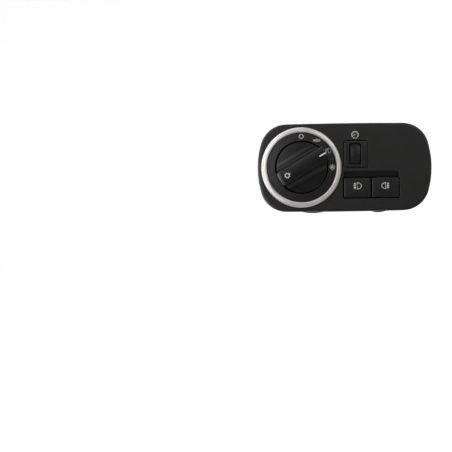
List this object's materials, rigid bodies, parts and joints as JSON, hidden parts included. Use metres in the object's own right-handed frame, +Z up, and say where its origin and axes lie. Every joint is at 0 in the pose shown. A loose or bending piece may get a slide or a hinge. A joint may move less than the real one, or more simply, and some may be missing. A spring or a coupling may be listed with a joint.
{
  "type": "headlight switch",
  "caption": "Oblong dashboard headlight switch: rotary lamp knob in a silver ring, dimmer thumbwheel, fog lamp buttons and a rear harness socket.",
  "frame": {"origin": "middle of the panel's outline, on the plane where its rim seats on the dashboard", "axes": "+X along the panel to the driver's right, +Y into the dashboard, +Z up; the knob faces -Y"},
  "size_m": [0.1308, 0.0635, 0.0673],
  "materials": {
    "panel_plastic": "fine-grained matt black moulding",
    "satin_silver": "satin silver-painted plastic",
    "knob_plastic": "matt black moulding",
    "white_insert": "white translucent insert",
    "clear_guide": "clear acrylic",
    "rotor_plastic": "natural white acetal",
    "spring_steel": "bare spring steel",
    "contact_metal": "gilded bronze",
    "tinned_metal": "tinned",
    "board": "solder-masked laminate",
    "silicone": "translucent silicone rubber",
    "chip_plastic": "moulded epoxy",
    "lamp": "white package",
    "resistor": "ceramic chip",
    "housing_plastic": "glass-filled black moulding",
    "screw_steel": "zinc plated"
  },
  "bodies": {
    "housing": {"bezel_panel": "panel_plastic", "trim_ring": "satin_silver", "dial_plate": "panel_plastic", "dial_light_guide": "clear_guide", "detent_spring": "spring_steel", "switch_carrier": "housing_plastic", "dimmer_bezel": "knob_plastic", "dimmer_potentiometer": "chip_plastic", "front_fog_dome": "silicone", "rear_fog_dome": "silicone", "circuit_board": "board", "contact_tracks": "contact_metal", "board_leds": "lamp", "control_chip": "chip_plastic", "board_capacitors": "tinned_metal", "board_resistors": "resistor", "pin_header": "chip_plastic", "connector_pins": "tinned_metal", "rear_housing": "housing_plastic", "housing_screws": "screw_steel", "board_screws": "screw_steel", "upper_clips": "spring_steel"},
    "knob": {"knob": "knob_plastic", "knob_pointer": "white_insert", "rotor": "rotor_plastic", "wiper_contacts": "contact_metal"},
    "dimmer": {"dimmer_wheel": "knob_plastic", "dimmer_axle": "screw_steel"},
    "front_fog": {"front_fog_button": "knob_plastic"},
    "rear_fog": {"rear_fog_button": "knob_plastic"}
  },
  "joints": [
    {"name": "knob_turn", "type": "hinge", "parent": "housing", "child": "knob", "pos_m": [-0.033, 0, 0], "axis": [0, -1, 0], "range_deg": [-30, 60], "deforming": ["detent_spring"]},
    {"name": "dimmer_turn", "type": "hinge", "parent": "housing", "child": "dimmer", "pos_m": [0.00768, 0.0021, 0.00995], "axis": [1, 0, 0], "range_deg": [-50, 50]},
    {"name": "front_fog_push", "type": "slide", "parent": "housing", "child": "front_fog", "axis": [0, 1, 0], "range_m": [0, 0.0022], "stiffness_N_per_m": 800, "springref_m": -0.0005, "deforming": ["front_fog_dome"]},
    {"name": "rear_fog_push", "type": "slide", "parent": "housing", "child": "rear_fog", "axis": [0, 1, 0], "range_m": [0, 0.0022], "stiffness_N_per_m": 800, "springref_m": -0.0005, "deforming": ["rear_fog_dome"]}
  ]
}
